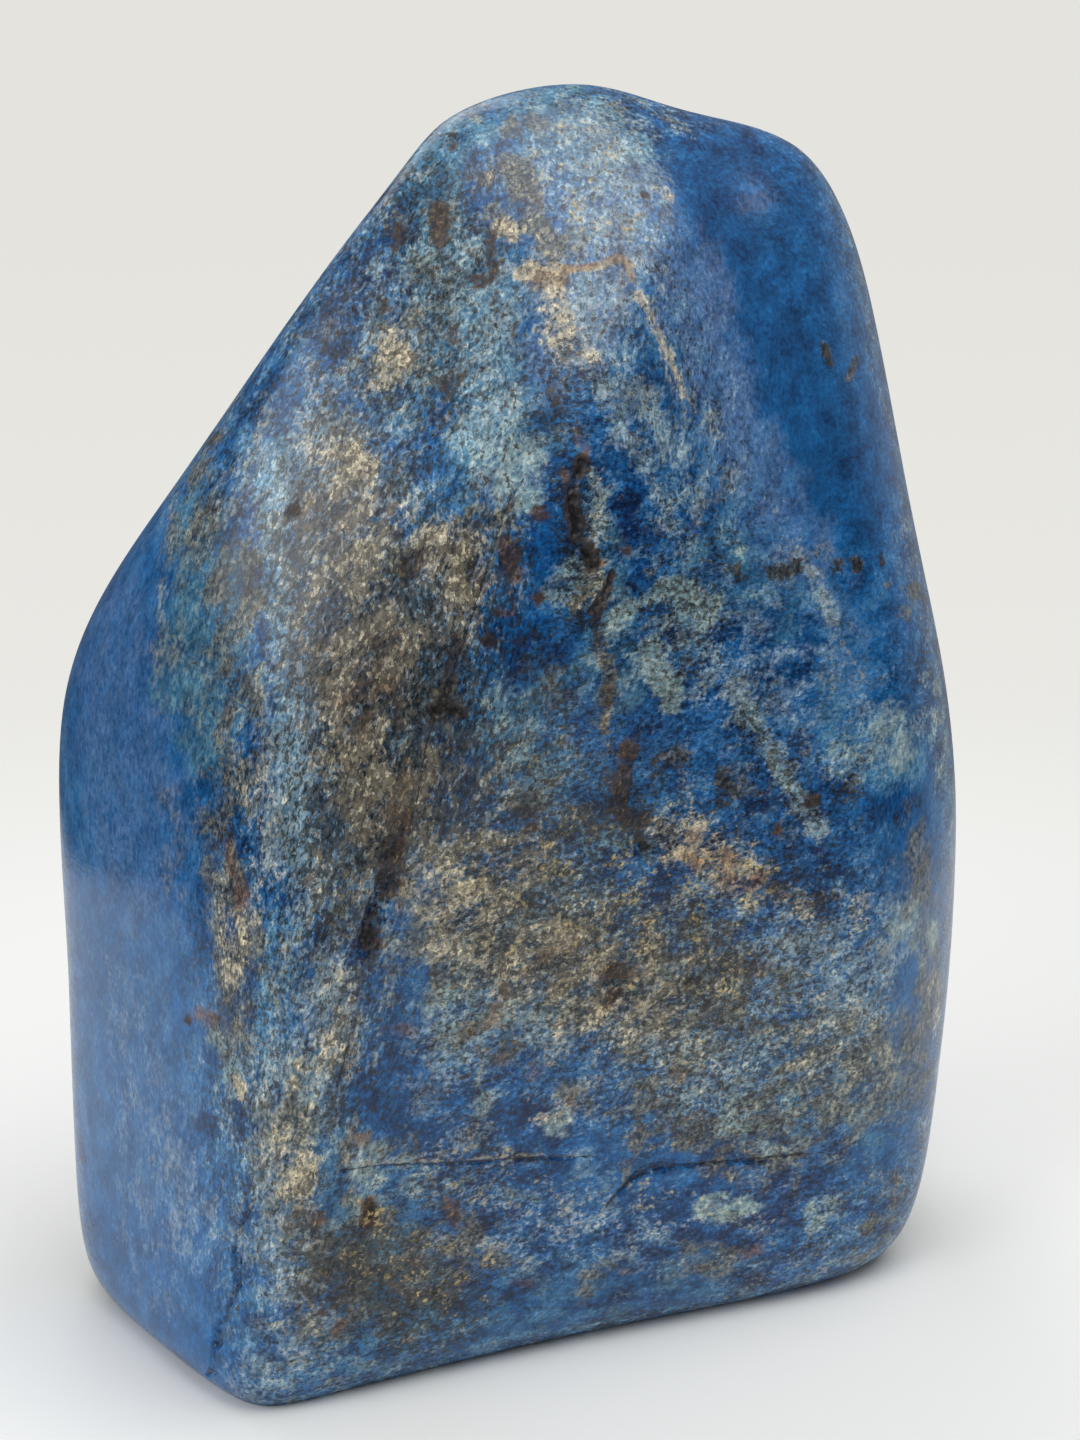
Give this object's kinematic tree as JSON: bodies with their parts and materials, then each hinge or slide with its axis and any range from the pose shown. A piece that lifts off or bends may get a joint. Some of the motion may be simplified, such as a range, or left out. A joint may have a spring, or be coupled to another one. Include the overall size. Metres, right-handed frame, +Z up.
{
  "type": "lapis lazuli freeform",
  "caption": "Polished freeform of blue lapis lazuli with pale calcite bands, standing upright on a flat sawn base.",
  "frame": {"origin": "on the ground, under the middle of the stone's bounding box", "axes": "+Z up from the sawn base to the crown; the wide polished front faces -Y; +X to the right seen from the front"},
  "size_m": [0.1184, 0.0596, 0.15],
  "materials": {
    "stone": "satin"
  },
  "bodies": {
    "root": {"lapis_stone": "stone"}
  },
  "joints": []
}
